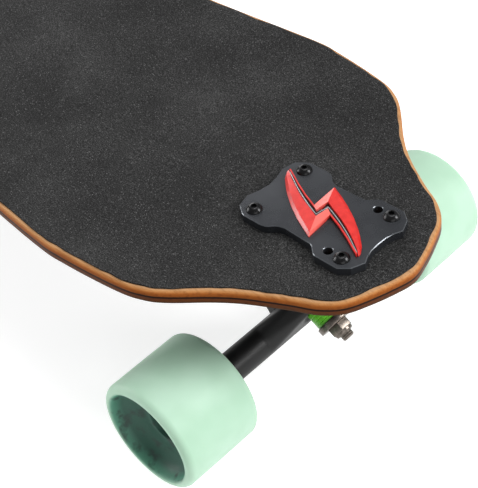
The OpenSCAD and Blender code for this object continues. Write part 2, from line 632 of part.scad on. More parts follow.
// circuit boards: a plate with a row of chips and one larger block on it
module circuit(size, chips, chip, pitch, block_at, block) {
    cube([size[0], size[1], board_thickness]);
    for (i = [0:chips - 1]) translate([6, 7 + i * pitch, board_thickness - 0.1]) cube(chip);
    translate([block_at[0], block_at[1], board_thickness - 0.1]) cube(block);
}
battery_board_size = [66, 90];
module battery_board() color("Green") translate([208, -battery_board_size[1] / 2, under(240) - 22])
    circuit(battery_board_size, 6, [12, 9, 3.5], 13, [32, 25], [24, 40, 8]);
module on_side(x, z) translate([x, -side_y, z]) rotate([90, 0, 0]) children();
module controller_case() color("DimGray") difference() {
    case_shell(controller_x, controller_depth);
    link_hole();
    for (s = [-1, 1]) on_end(controller_x[0] + 10, s * gland_y, gland_z, -1) cylinder(r = 4.5, h = 20);
    on_side(button_x, side_z(button_x)) translate([0, 0, -10]) cylinder(r = 8.2, h = 20);
    on_side(port_x, side_z(port_x)) translate([0, 0, -10]) cylinder(r = 6, h = 20);
    on_side(lens_x, side_z(lens_x)) translate([0, 0, -5]) cube([14, 4, 20], center = true);
    translate([heat_x, 0, 80]) cube([heat_length + 0.4, heat_width + 0.4, 60], center = true);
}
fin = 2.4;
fin_pitch = 8;
fin_height = 3.5;
module heat_sink() color("Silver")
    translate([heat_x - heat_length / 2, 0, under(heat_x) - controller_depth - 0.5]) {
        translate([0, -heat_width / 2, 0]) cube([heat_length, heat_width, 7]);
        for (i = [-3:3]) translate([0, i * fin_pitch - fin / 2, -fin_height])
            cube([heat_length, fin, fin_height + 0.1]);
    }
controller_board_size = [110, 96];
capacitor_r = 5;
module controller_board() color("Green")
    translate([-292, -controller_board_size[1] / 2, under(-215) - controller_depth + 13]) {
        circuit(controller_board_size, 6, [16, 10, 4.5], 12, [62, 28], [30, 40, 6]);
        for (i = [0:3]) translate([8 + i * 14, controller_board_size[1] - 8, 1])
            cylinder(r = capacitor_r, h = 9);
    }
module case_gaskets() color("Black") for (x = [battery_x, controller_x]) difference() {
    intersection() {
        band(grown(x), 0, 14, flange_y);
        plan(grown(x), flange_y, flange_corner);
    }
    plan([x[0] + wall, x[1] - wall], case_width - 2 * wall, case_corner - wall);
    deck_space([x[0] - 12, x[1] + 12], 0.25);
    case_screw_holes();
}
module case_screws() color("Black") for (p = case_screw_spots) translate([p[0], p[1], 0]) {
    z = under(p[0]) - flange;
    translate([0, 0, z - 0.5]) cylinder(r = screw_r, h = 14);
    translate([0, 0, z - 2.6]) difference() {
        cylinder(r = 3.8, h = 2.3);
        translate([0, 0, -1]) cylinder(r = 1.4, h = 2.2, $fn = 6);
    }
}
module button_bezel() color("Silver") on_side(button_x, side_z(button_x)) difference() {
    union() {
        translate([0, 0, -9]) cylinder(r = 8.2, h = 10);
        cylinder(r = 10, h = 1.6);
        translate([0, 0, -wall - 3]) cylinder(r = 10, h = 3, $fn = 6);
    }
    translate([0, 0, -7.5]) cylinder(r = button_r + fit_gap, h = 20);
}
module power_button() color("Black") on_side(button_x, side_z(button_x)) difference() {
    translate([0, 0, -7.5 + button_travel + 0.1]) cylinder(r = button_r, h = 10);
    translate([0, 0, 3.3]) cylinder(r = 4, h = 3);
}
module charge_port() color("Black") on_side(port_x, side_z(port_x)) {
    difference() {
        union() {
            translate([0, 0, -9]) cylinder(r = 6, h = 10);
            cylinder(r = port_r, h = 2);
            for (s = [-1, 1]) hull() {
                translate([hinge_x, s * 5.2, 3.5]) rotate([90, 0, 0]) cylinder(r = 2.2, h = 3, center = true);
                translate([port_r - 1, s * 5.2, 1]) cube([2, 3, 2], center = true);
            }
        }
        translate([0, 0, 2 - jack_length]) cylinder(r = jack_r, h = 20);
    }
    translate([0, 0, -9]) cylinder(r = 1, h = 9);
    translate([hinge_x, 0, 3.5]) rotate([90, 0, 0]) cylinder(r = 1, h = 13, center = true);
}
module charge_cap() color("Black") on_side(port_x, side_z(port_x)) difference() {
    union() {
        translate([0, 0, 2 + cap_gap]) cylinder(r = port_r - 1.1, h = 2.6);
        translate([hinge_x, 0, 3.5]) rotate([90, 0, 0]) cylinder(r = 2, h = 7, center = true);
        translate([3, -3.5, 2.3 + cap_gap]) cube([hinge_x - 3, 7, 1.6]);
    }
    translate([hinge_x, 0, 3.5]) rotate([90, 0, 0]) cylinder(r = 1 + fit_gap, h = 20, center = true);
}
module status_lens() color("White") on_side(lens_x, side_z(lens_x))
    translate([0, 0, -wall / 2]) cube([14, 4, wall + 0.6], center = true);

deck();
grip_tape();
front_top_plate();
rear_top_plate();
front_emblem();
rear_emblem();
mount_bolts();
mount_nuts();
riser_pads();
front_baseplate();
rear_baseplate();
pivot_cups();
kingpins();
kingpin_nuts();
cup_washers();
front_board_bushing();
front_road_bushing();
rear_board_bushing();
rear_road_bushing();
front_hanger();
front_axle();
front_axle_nuts();
front_axle_spacers();
front_left_tyre();
front_left_core();
front_left_bearings();
front_right_tyre();
front_right_core();
front_right_bearings();
rear_hanger();
rear_axle();
rear_axle_nuts();
rear_axle_spacers();
motor_stators();
motor_windings();
rear_left_tyre();
rear_left_rotor();
rear_left_cover();
rear_left_bearings();
rear_right_tyre();
rear_right_rotor();
rear_right_cover();
rear_right_bearings();
left_motor_cable();
right_motor_cable();
battery_case();
battery_cells();
battery_board();
controller_case();
controller_board();
heat_sink();
case_gaskets();
case_screws();
link_cable();
cable_glands();
button_bezel();
power_button();
charge_port();
charge_cap();
status_lens();
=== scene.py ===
import json
import math
import bpy
import bmesh
from mathutils import Matrix, Vector, noise


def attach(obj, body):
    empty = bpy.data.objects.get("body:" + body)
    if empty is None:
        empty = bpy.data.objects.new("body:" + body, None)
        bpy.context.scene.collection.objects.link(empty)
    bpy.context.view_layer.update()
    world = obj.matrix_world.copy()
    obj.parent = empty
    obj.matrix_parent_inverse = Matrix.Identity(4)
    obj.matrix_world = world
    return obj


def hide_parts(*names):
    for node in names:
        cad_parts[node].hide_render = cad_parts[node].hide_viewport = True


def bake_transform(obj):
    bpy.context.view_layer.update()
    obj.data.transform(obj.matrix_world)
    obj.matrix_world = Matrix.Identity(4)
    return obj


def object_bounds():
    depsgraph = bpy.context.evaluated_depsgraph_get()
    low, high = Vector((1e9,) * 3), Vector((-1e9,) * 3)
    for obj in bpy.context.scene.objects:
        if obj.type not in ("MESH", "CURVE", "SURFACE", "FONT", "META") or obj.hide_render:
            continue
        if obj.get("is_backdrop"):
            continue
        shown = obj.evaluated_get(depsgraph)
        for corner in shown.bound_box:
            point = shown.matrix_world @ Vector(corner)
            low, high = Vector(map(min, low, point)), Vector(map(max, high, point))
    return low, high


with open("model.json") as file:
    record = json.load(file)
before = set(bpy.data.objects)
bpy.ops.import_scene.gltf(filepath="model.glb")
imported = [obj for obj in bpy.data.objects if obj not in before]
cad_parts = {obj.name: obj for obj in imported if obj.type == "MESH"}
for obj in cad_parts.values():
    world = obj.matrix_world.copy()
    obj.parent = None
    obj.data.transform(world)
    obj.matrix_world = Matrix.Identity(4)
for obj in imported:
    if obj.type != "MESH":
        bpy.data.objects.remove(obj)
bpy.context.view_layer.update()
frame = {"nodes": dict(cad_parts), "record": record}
mm = 0.001
scene = bpy.context.scene
bodyOf = {node: body for body, nodes in frame["record"]["behaviour"]["bodies"].items() for node in nodes}
slotOf = {part["node"]: part["material_slot"] for part in frame["record"]["subparts"]}
print("frame loaded:", len(frame["nodes"]), "nodes")


# an sRGB hex colour as linear values
def paint(code):
    channels = [int(code[i:i + 2], 16) / 255 for i in (1, 3, 5)]
    return [c / 12.92 if c <= 0.04045 else ((c + 0.055) / 1.055) ** 2.4 for c in channels] + [1.0]


# adds one shader node; settings are its own values or its sockets', links are socket: source
def addNode(tree, kind, settings=None, links=None):
    node = tree.nodes.new("ShaderNode" + kind)
    for key, value in (settings or {}).items():
        if key == "stops":
            ends = node.color_ramp.elements
            ends[0].position, ends[0].color = value[0]
            ends[1].position, ends[1].color = value[-1]
            for place, colour in value[1:-1]:
                node.color_ramp.elements.new(place).color = colour
        elif isinstance(key, str) and hasattr(node, key):
            setattr(node, key, value)
        else:
            node.inputs[key].default_value = value
    for key, source in (links or {}).items():
        tree.links.new(source, node.inputs[key])
    return node


def newTree(name):
    material = bpy.data.materials.new(name)
    material.use_nodes = True
    material.node_tree.nodes.clear()
    return material, material.node_tree


# ---- materials: simple finishes share one build, with fine grain for bump and broad clouds for colour
finishes = {
    # hard-anodised aluminium, bead blasted first: soft grey sheen over near black, with the chamfers painted
    # lighter as a painted highlight
    "anodisedPlate": {"slot": "plate_black", "dark": "#323438", "light": "#3c3e42", "grain": 0.35, "cloud": 22,
                      "cloudPart": 0.7, "rough": (0.25, 0.31), "depth": 0.006, "edge": "#54575b",
                      "shader": {"Metallic": 0.6}},
    # black oxide on socket screws: oily dark gloss
    "blackOxide": {"slot": "black_steel", "dark": "#0d0d0e", "light": "#1b1b1d", "grain": 0.5, "cloud": 4,
                   "rough": (0.2, 0.34), "depth": 0.008, "shader": {"Metallic": 0.6}},
    # zinc plate on turned steel: grey with faint brown tint and tool marks
    "zincPlate": {"slot": "zinc_steel", "dark": "#4d4843", "light": "#847b73", "grain": 0.6, "cloud": 5,
                  "rough": (0.26, 0.42), "depth": 0.012, "shader": {"Metallic": 1.0}},
    # moulded hard rubber: dull black, slightly dusty
    "riserRubber": {"slot": "riser_rubber", "dark": "#141414", "light": "#202020", "grain": 0.5, "cloud": 12,
                    "rough": (0.6, 0.75), "depth": 0.02},
    # satin powder coat on cast aluminium: fine orange peel and soft highlights
    "powderCoat": {"slot": "truck_black", "dark": "#090909", "light": "#101011", "grain": 0.9, "cloud": 16,
                   "cloudPart": 0.6, "rough": (0.42, 0.54), "depth": 0.03, "shader": {"Specular IOR Level": 0.35}},
    # cast polyurethane, undyed: milky amber
    "pivotUrethane": {"slot": "pivot_urethane", "dark": "#c9b98e", "light": "#dccfa6", "grain": 1.0,
                      "rough": (0.35, 0.45), "depth": 0.01},
    # cast polyurethane dyed leaf green: satin, a little see-through
    "greenUrethane": {"slot": "bushing_green", "dark": "#459a12", "light": "#66bb22", "grain": 1.2, "cloud": 8,
                      "rough": (0.3, 0.42), "depth": 0.01, "shader": {"Subsurface Weight": 0.12,
                                                                      "Subsurface Scale": 0.003}},
    # glass-filled nylon wheel core: dull off-white
    "corePlastic": {"slot": "core_plastic", "dark": "#6f7f78", "light": "#84958d", "grain": 0.8,
                    "rough": (0.5, 0.6), "depth": 0.02},
    # ground bearing steel: bright rings
    "bearingSteel": {"slot": "bearing_steel", "dark": "#8b8b8d", "light": "#b5b5b7", "grain": 0.4,
                     "rough": (0.16, 0.26), "depth": 0.003, "shader": {"Metallic": 1.0}},
    # turned aluminium can, anodised graphite: satin with a darker tone in the turning marks
    "graphiteCan": {"slot": "motor_can", "dark": "#3a3b3e", "light": "#54565a", "grain": 0.5, "cloud": 10,
                    "rough": (0.3, 0.42), "depth": 0.01, "shader": {"Metallic": 0.9}},
    # painted steel cover: flat black
    "coverPaint": {"slot": "motor_cover", "dark": "#141415", "light": "#212123", "grain": 0.7, "cloud": 9,
                   "rough": (0.38, 0.5), "depth": 0.015},
    # stacked silicon steel: dull grey plates
    "lamination": {"slot": "laminations", "dark": "#57585a", "light": "#77787a", "grain": 0.5,
                   "stretch": (1, 6, 1), "rough": (0.45, 0.6), "depth": 0.03, "shader": {"Metallic": 0.8}},
    # enamelled copper wire: orange brown gloss
    "copperEnamel": {"slot": "copper_wire", "dark": "#8f4a1f", "light": "#c8783a", "grain": 0.8,
                     "stretch": (1, 5, 1), "rough": (0.25, 0.4), "depth": 0.05, "shader": {"Metallic": 0.7}},
    # PVC cable jacket: soft black sheen
    "cableJacket": {"slot": "cable_black", "dark": "#101010", "light": "#1c1c1c", "grain": 0.8, "cloud": 6,
                    "rough": (0.42, 0.55), "depth": 0.02},
    # textured ABS moulding: fine spark-eroded grain that dulls the black
    "texturedAbs": {"slot": "case_plastic", "dark": "#161617", "light": "#232325", "grain": 0.9, "cloud": 28,
                    "rough": (0.5, 0.64), "depth": 0.05},
    # heat-shrunk PVC wrap on cells: bright blue gloss
    "cellWrap": {"slot": "cell_wrap", "dark": "#1d4f9e", "light": "#2a66bd", "grain": 3.0,
                 "rough": (0.2, 0.3), "depth": 0.02},
    # green solder mask: glossy with woven glass below
    "solderMask": {"slot": "circuit_board", "dark": "#0f4a26", "light": "#1a6a38", "grain": 0.9,
                   "rough": (0.22, 0.34), "depth": 0.01},
    # milled bare aluminium: pale with fine straight tool lines
    "milledAluminium": {"slot": "heat_sink_aluminium", "dark": "#8f9193", "light": "#b4b6b8", "grain": 0.5,
                        "stretch": (0.12, 1, 1), "rough": (0.26, 0.4), "depth": 0.012,
                        "shader": {"Metallic": 1.0}},
    # closed-cell foam gasket: matt black with tiny pores
    "gasketFoam": {"slot": "gasket_foam", "dark": "#141414", "light": "#222222", "grain": 0.6,
                   "rough": (0.8, 0.9), "depth": 0.08},
    # moulded nylon glands: satin black
    "glandNylon": {"slot": "gland_nylon", "dark": "#121213", "light": "#1c1c1e", "grain": 0.7,
                   "rough": (0.36, 0.48), "depth": 0.01},
    # polished ABS button: dark mirror with finger haze
    "buttonGloss": {"slot": "button_plastic", "dark": "#101012", "light": "#161618", "grain": 5.0,
                    "rough": (0.12, 0.3), "depth": 0.002},
    # soft silicone cap: dusty black
    "capSilicone": {"slot": "cap_rubber", "dark": "#191919", "light": "#262626", "grain": 0.6,
                    "rough": (0.6, 0.72), "depth": 0.02},
    # frosted acrylic light window: milky white
    "frostedLens": {"slot": "lens_plastic", "dark": "#c3cdd2", "light": "#dde5e8", "grain": 0.5,
                    "rough": (0.4, 0.5), "depth": 0.01, "shader": {"Transmission Weight": 0.3}},
    # gloss black lacquer in the sign's groove
    "grooveLacquer": {"slot": None, "dark": "#0a0a0b", "light": "#131314", "grain": 2.0,
                      "rough": (0.18, 0.26), "depth": 0.004},
    # thin bright silver-grey metallic line along the groove
    "silverLine": {"slot": None, "dark": "#b9bcc0", "light": "#dfe1e4", "grain": 0.6,
                   "rough": (0.18, 0.26), "depth": 0.004, "shader": {"Metallic": 0.9}},
}


def makeFinish(name, look):
    material, tree = newTree(name)
    spot = addNode(tree, "TexCoord").outputs["Object"]
    along = addNode(tree, "Mapping", {"Scale": look.get("stretch", (1, 1, 1))}, {"Vector": spot}).outputs[0]
    grain = addNode(tree, "TexNoise", {"Scale": 1000 / look["grain"], "Detail": 3.0}, {"Vector": along}).outputs[0]
    cloud = addNode(tree, "TexNoise", {"Scale": 1000 / look.get("cloud", 10), "Detail": 2.0},
                    {"Vector": along}).outputs[0]
    both = addNode(tree, "Mix", {"data_type": "FLOAT", 0: look.get("cloudPart", 0.5)},
                   {2: grain, 3: cloud}).outputs[0]
    stops = [(0.32, paint(look["dark"])), (0.68, paint(look["light"]))]
    colour = addNode(tree, "ValToRGB", {"stops": stops}, {0: both}).outputs[0]
    if "edge" in look:  # machined edges, marked by the "rim" attribute, are painted a little brighter: a painted highlight on the chamfers
        rim = addNode(tree, "Attribute", {"attribute_name": "rim"}).outputs["Fac"]
        colour = addNode(tree, "Mix", {"data_type": "RGBA", 7: paint(look["edge"])}, {0: rim, 6: colour}).outputs[2]
    low, high = look["rough"]
    rough = addNode(tree, "MapRange", {1: 0.3, 2: 0.7, 3: low, 4: high}, {0: both}).outputs[0]
    bump = addNode(tree, "Bump", {"Distance": look["depth"] * mm}, {"Height": grain}).outputs[0]
    shader = addNode(tree, "BsdfPrincipled", look.get("shader"),
                     {"Base Color": colour, "Roughness": rough, "Normal": bump})
    addNode(tree, "OutputMaterial", None, {0: shader.outputs[0]})
    return material


material = {name: makeFinish(name, look) for name, look in finishes.items()}
bySlot = {look["slot"]: material[name] for name, look in finishes.items() if look["slot"]}

# emery grip tape: silicon carbide grit in black resin, with painted glints on a few grains; the real grit is 0.3
# mm, drawn at 0.8 so that it shows
gripLook = {"low": "#060606", "mid": "#1a1a1a", "high": "#484848", "gritGlint": "#5e5e5e", "grit": 0.7, "patch": 45,
            "sparkSize": 0.8, "depth": 0.35}


def makeGrip(look):
    made, tree = newTree("emeryGrip")
    spot = addNode(tree, "TexCoord").outputs["Object"]
    grit = addNode(tree, "TexNoise", {"Scale": 1000 / look["grit"], "Detail": 2.0, "Roughness": 0.8},
                   {"Vector": spot}).outputs[0]
    patch = addNode(tree, "TexNoise", {"Scale": 1000 / look["patch"], "Detail": 2.0}, {"Vector": spot}).outputs[0]
    tone = addNode(tree, "Math", {"operation": "MULTIPLY_ADD", 1: 0.18}, {0: patch, 2: grit}).outputs[0]
    base = addNode(tree, "ValToRGB", {"stops": [(0.46, paint(look["low"])), (0.6, paint(look["mid"])),
                                                (0.78, paint(look["high"]))]}, {0: tone}).outputs[0]
    # rare bright specks: painted glints on the grit, which are also made shinier
    cells = addNode(tree, "TexVoronoi", {"Scale": 1000 / look["sparkSize"]}, {"Vector": spot})
    chosen = addNode(tree, "SeparateColor", None, {0: cells.outputs["Color"]}).outputs[0]
    rare = addNode(tree, "Math", {"operation": "GREATER_THAN", 1: 0.95}, {0: chosen}).outputs[0]
    small = addNode(tree, "Math", {"operation": "LESS_THAN", 1: 0.33}, {0: cells.outputs["Distance"]}).outputs[0]
    gritGlint = addNode(tree, "Math", {"operation": "MULTIPLY"}, {0: rare, 1: small}).outputs[0]
    colour = addNode(tree, "Mix", {"data_type": "RGBA", 7: paint(look["gritGlint"])}, {0: gritGlint, 6: base}).outputs[2]
    rough = addNode(tree, "MapRange", {3: 0.85, 4: 0.5}, {0: gritGlint}).outputs[0]
    bump = addNode(tree, "Bump", {"Distance": look["depth"] * mm, "Strength": 0.7}, {"Height": grit}).outputs[0]
    shader = addNode(tree, "BsdfPrincipled", {"Specular IOR Level": 0.22},
                     {"Base Color": colour, "Roughness": rough, "Normal": bump})
    addNode(tree, "OutputMaterial", None, {0: shader.outputs[0]})
    return made


# lacquered maple plywood: the "ply" attribute runs from 0 at the underside to 1 at the top; along it the lower
# plies are darkened as painted shade and the top edge is lightened as a painted highlight, besides the dark
# underside and glue line
veneerLook = {
    "layers": [(0.0, "#120e0c"), (0.05, "#17110c"), (0.1, "#33200f"), (0.2, "#4a280c"), (0.42, "#54290c"),
               (0.46, "#1a0a02"), (0.55, "#1a0a02"), (0.59, "#773f10"), (0.75, "#864815"),
               (0.83, "#995a26"), (0.94, "#b07c4c"), (1.0, "#b48c66")],
    "grain": 2.2, "fleck": 14, "stretch": 0.06, "depth": 0.03,
}


def makeVeneer(look):
    made, tree = newTree("mapleVeneer")
    spot = addNode(tree, "TexCoord").outputs["Object"]
    ply = addNode(tree, "Attribute", {"attribute_name": "ply"}).outputs["Fac"]
    along = addNode(tree, "Mapping", {"Scale": (look["stretch"], 1, 1)}, {"Vector": spot}).outputs[0]
    waver = addNode(tree, "TexNoise", {"Scale": 1000 / look["fleck"], "Detail": 3.0}, {"Vector": spot}).outputs[0]
    shifted = addNode(tree, "MapRange", {1: 0.2, 2: 0.8, 3: -0.035, 4: 0.035}, {0: waver}).outputs[0]
    height = addNode(tree, "Math", {"operation": "ADD"}, {0: ply, 1: shifted}).outputs[0]
    # keeps both faces at their own end of the ramp
    height = addNode(tree, "Mix", {"data_type": "FLOAT"}, {
        0: addNode(tree, "Math", {"operation": "PINGPONG", 1: 0.5}, {0: ply}).outputs[0], 2: ply, 3: height})
    layers = [(place, paint(code)) for place, code in look["layers"]]
    base = addNode(tree, "ValToRGB", {"stops": layers}, {0: height.outputs[0]}).outputs[0]
    fibre = addNode(tree, "TexNoise", {"Scale": 1000 / look["grain"], "Detail": 5.0, "Roughness": 0.65},
                    {"Vector": along}).outputs[0]
    shade = addNode(tree, "ValToRGB", {"stops": [(0.3, paint("#c9bdb0")), (0.55, paint("#ffffff")),
                                                 (0.75, paint("#e8ded2"))]}, {0: fibre}).outputs[0]
    colour = addNode(tree, "Mix", {"data_type": "RGBA", "blend_type": "MULTIPLY", 0: 0.8},
                     {6: base, 7: shade}).outputs[2]
    rough = addNode(tree, "MapRange", {1: 0.3, 2: 0.7, 3: 0.36, 4: 0.5}, {0: fibre}).outputs[0]
    bump = addNode(tree, "Bump", {"Distance": look["depth"] * mm}, {"Height": fibre}).outputs[0]
    shader = addNode(tree, "BsdfPrincipled", {"Specular IOR Level": 0.06},
                     {"Base Color": colour, "Roughness": rough, "Normal": bump})
    addNode(tree, "OutputMaterial", None, {0: shader.outputs[0]})
    return made


# cast polyurethane tyre: milky mint, light goes a little way in; "bowl" is 1 deep in the wheel's bowl, where the
# colour darkens to teal and near black as painted shade
tyreLook = {"mint": "#9abba4", "pale": "#a6c5b0", "bowl": "#558c76", "hub": "#2f5548", "smudge": "#2e3d38",
            "cloud": 30, "scuff": 1.6, "smudgeSize": 9}


def makeTyre(look):
    made, tree = newTree("mintUrethane")
    spot = addNode(tree, "TexCoord").outputs["Object"]
    cloud = addNode(tree, "TexNoise", {"Scale": 1000 / look["cloud"], "Detail": 2.0}, {"Vector": spot}).outputs[0]
    scuff = addNode(tree, "TexNoise", {"Scale": 1000 / look["scuff"], "Detail": 3.0}, {"Vector": spot}).outputs[0]
    base = addNode(tree, "ValToRGB", {"stops": [(0.35, paint(look["mint"])), (0.65, paint(look["pale"]))]},
                   {0: cloud}).outputs[0]
    bowl = addNode(tree, "Attribute", {"attribute_name": "bowl"}).outputs["Fac"]
    # the bowl's painted shade: teal near the lip, near black deep in
    deep = addNode(tree, "ValToRGB", {"stops": [(0.5, paint(look["bowl"])), (1.0, paint(look["hub"]))]},
                   {0: bowl}).outputs[0]
    blot = addNode(tree, "TexNoise", {"Scale": 1000 / look["smudgeSize"], "Detail": 3.0},
                   {"Vector": spot}).outputs[0]
    dirt = addNode(tree, "MapRange", {1: 0.54, 2: 0.64, 4: 0.8}, {0: blot}).outputs[0]
    deep = addNode(tree, "Mix", {"data_type": "RGBA", 7: paint(look["smudge"])}, {0: dirt, 6: deep}).outputs[2]
    edge = addNode(tree, "MapRange", {1: 0.0, 2: 0.45}, {0: bowl}).outputs[0]
    colour = addNode(tree, "Mix", {"data_type": "RGBA"}, {0: edge, 6: base, 7: deep}).outputs[2]
    rough = addNode(tree, "MapRange", {1: 0.3, 2: 0.7, 3: 0.46, 4: 0.58}, {0: scuff}).outputs[0]
    bump = addNode(tree, "Bump", {"Distance": 0.012 * mm}, {"Height": scuff}).outputs[0]
    shader = addNode(tree, "BsdfPrincipled", {"Subsurface Weight": 0.2, "Subsurface Scale": 0.004,
                                              "Subsurface Radius": (0.8, 1.0, 0.8), "Specular IOR Level": 0.3},
                     {"Base Color": colour, "Roughness": rough, "Normal": bump})
    addNode(tree, "OutputMaterial", None, {0: shader.outputs[0]})
    return made


# candy red lacquer over polished die-cast zinc: deep on the walls; the short facet faces by the zig get a brighter
# red, a painted highlight
lacquerLook = {"dark": "#b8140d", "light": "#ca2019", "facet": "#de5c52", "grain": 3.0}


def makeLacquer(look):
    made, tree = newTree("candyRedLacquer")
    spot = addNode(tree, "TexCoord").outputs["Object"]
    swirl = addNode(tree, "TexNoise", {"Scale": 1000 / look["grain"], "Detail": 3.0}, {"Vector": spot}).outputs[0]
    base = addNode(tree, "ValToRGB", {"stops": [(0.32, paint(look["dark"])), (0.68, paint(look["light"]))]},
                   {0: swirl}).outputs[0]
    facet = addNode(tree, "Attribute", {"attribute_name": "facet"}).outputs["Fac"]
    colour = addNode(tree, "Mix", {"data_type": "RGBA", 7: paint(look["facet"])}, {0: facet, 6: base}).outputs[2]
    rough = addNode(tree, "MapRange", {1: 0.3, 2: 0.7, 3: 0.3, 4: 0.34}, {0: swirl}).outputs[0]
    bump = addNode(tree, "Bump", {"Distance": 0.004 * mm}, {"Height": swirl}).outputs[0]
    shader = addNode(tree, "BsdfPrincipled", {"Coat Weight": 0.25, "Coat Roughness": 0.2},
                     {"Base Color": colour, "Roughness": rough, "Normal": bump})
    addNode(tree, "OutputMaterial", None, {0: shader.outputs[0]})
    return made


bySlot["emblem_red"] = makeLacquer(lacquerLook)
bySlot["grip_tape"] = makeGrip(gripLook)
bySlot["maple_ply"] = makeVeneer(veneerLook)
bySlot["wheel_urethane"] = makeTyre(tyreLook)
for name, node in frame["nodes"].items():
    node.data.materials.clear()
    node.data.materials.append(bySlot[slotOf[name]])
print("materials made:", len(bpy.data.materials))


# ---- shared shaping, all in millimetres until the piece is finished
def atTruck(end):
    return Matrix.Rotation(0 if end > 0 else math.pi, 4, "Z") @ Matrix.Translation((truck["x"], 0, 0))


def onAxle(end, side):
    return atTruck(end) @ Matrix.Translation((-truck["axleBack"], 0, truck["axleZ"])) @ Matrix.Rotation(
        -side * math.pi / 2, 4, "X")


def onKingpin(end):
    return atTruck(end) @ Matrix.Translation(truck["ring"]) @ Matrix.Rotation(math.radians(120), 4, "Y")


def arc(centre, radius, start, end, count=6):
    angles = [math.radians(start + (end - start) * i / count) for i in range(count + 1)]
    return [(centre[0] + radius * math.cos(a), centre[1] + radius * math.sin(a)) for a in angles]


# spins a closed profile of (radius, height) about Z
def lathe(profile, steps=96):
    bm = bmesh.new()
    ring = [bm.verts.new((r, 0, z)) for r, z in profile]
    edges = [bm.edges.new((ring[i - 1], ring[i])) for i in range(len(ring))]
    bmesh.ops.spin(bm, geom=ring + edges, cent=(0, 0, 0), axis=(0, 0, 1), dvec=(0, 0, 0),
                   angle=2 * math.pi, steps=steps, use_merge=True)
    bmesh.ops.remove_doubles(bm, verts=bm.verts, dist=1e-4)
    loose = [f for f in bm.faces if f.calc_area() < 1e-9]
    bmesh.ops.delete(bm, geom=loose, context="FACES_ONLY")
    bmesh.ops.recalc_face_normals(bm, faces=bm.faces)
    return bm


# a flat outline raised from one height to another
def slab(outline, low, high):
    bm = bmesh.new()
    face = bm.faces.new([bm.verts.new((x, y, low)) for x, y in outline])
    raised = bmesh.ops.extrude_face_region(bm, geom=[face], use_keep_orig=True)
    bmesh.ops.translate(bm, vec=(0, 0, high - low),
                        verts=[v for v in raised["geom"] if isinstance(v, bmesh.types.BMVert)])
    bmesh.ops.recalc_face_normals(bm, faces=bm.faces)
    return bm


def bevelEdges(bm, edges, offset, segments=2):
    bmesh.ops.bevel(bm, geom=edges, offset=offset, offset_type="OFFSET", affect="EDGES", segments=segments,
                    profile=0.5, material=-1, clamp_overlap=True)


def rimEdges(bm, height):
    return [e for e in bm.edges if all(abs(v.co.z - height) < 1e-4 for v in e.verts)]


# puts a copy of one bmesh into another
def joinInto(bm, other, matrix=None):
    if matrix:
        bmesh.ops.transform(other, matrix=matrix, verts=other.verts)
    mesh = bpy.data.meshes.new("part")
    other.to_mesh(mesh)
    other.free()
    bm.from_mesh(mesh)
    bpy.data.meshes.remove(mesh)


# makes the finished piece: metres, shading, finish, and the CAD nodes that it stands for
def addPiece(bm, name, nodes, finish=None, angle=35, body=None):
    nodes = [nodes] if isinstance(nodes, str) else nodes
    bmesh.ops.scale(bm, vec=(mm, mm, mm), verts=bm.verts)
    mesh = bpy.data.meshes.new(name)
    bm.to_mesh(mesh)
    bm.free()
    mesh.polygons.foreach_set("use_smooth", [True] * len(mesh.polygons))
    mesh.set_sharp_from_angle(angle=math.radians(angle))
    piece = bpy.data.objects.new(name, mesh)
    scene.collection.objects.link(piece)
    slotName = slotOf[nodes[0]] if nodes else None
    mesh.materials.append(finish or bySlot[slotName])
    if body is None:
        body = bodyOf[nodes[0]]
    if body:
        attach(piece, body)
    if nodes:
        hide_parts(*nodes)
    return piece


# a copy of a CAD node in millimetres, with its loose triangles merged and flat faces joined
def cadCopy(node):
    bm = bmesh.new()
    bm.from_mesh(frame["nodes"][node].data)
    bmesh.ops.remove_doubles(bm, verts=bm.verts, dist=2e-6)
    bmesh.ops.scale(bm, vec=(1000, 1000, 1000), verts=bm.verts)
    bmesh.ops.dissolve_limit(bm, angle_limit=math.radians(0.05), use_dissolve_boundaries=False,
                             verts=bm.verts, edges=bm.edges, delimit=set())
    return bm


def softened(node, offset, segments=2, angle=30, **more):
    bm = cadCopy(node)
    sharp = [e for e in bm.edges if len(e.link_faces) == 2 and e.calc_face_angle() > math.radians(angle)]
    bevelEdges(bm, sharp, offset, segments)
    return addPiece(bm, node + "_piece", node, **more)


# changes a piece's mesh for what its modifiers make of it
def bake(piece):
    made = bpy.data.meshes.new_from_object(piece.evaluated_get(bpy.context.evaluated_depsgraph_get()))
    old = piece.data
    piece.modifiers.clear()
    piece.data = made
    bpy.data.meshes.remove(old)


# cuts one bmesh out of another, and frees both
def carve(bm, cutter, selfCrossing=False):
    objects = []
    for part in (bm, cutter):
        mesh = bpy.data.meshes.new("carving")
        part.to_mesh(mesh)
        part.free()
        objects.append(bpy.data.objects.new("carving", mesh))
        scene.collection.objects.link(objects[-1])
    cut = objects[0].modifiers.new("cut", "BOOLEAN")
    cut.object, cut.use_self = objects[1], selfCrossing
    bake(objects[0])
    made = bmesh.new()
    made.from_mesh(objects[0].data)
    for item in objects:
        mesh = item.data
        bpy.data.objects.remove(item)
        bpy.data.meshes.remove(mesh)
    return made


truck = {"x": 421, "axleBack": 23, "axleZ": 35.5, "ring": (-12.5, 0, 50), "bolts": (31.75, 20.64), "spare": 22.225}
boltSpots = [(sx * truck["bolts"][0], sy * truck["bolts"][1]) for sx in (-1, 1) for sy in (-1, 1)]
spareSpots = [(truck["spare"], sy * truck["bolts"][1]) for sy in (-1, 1)]

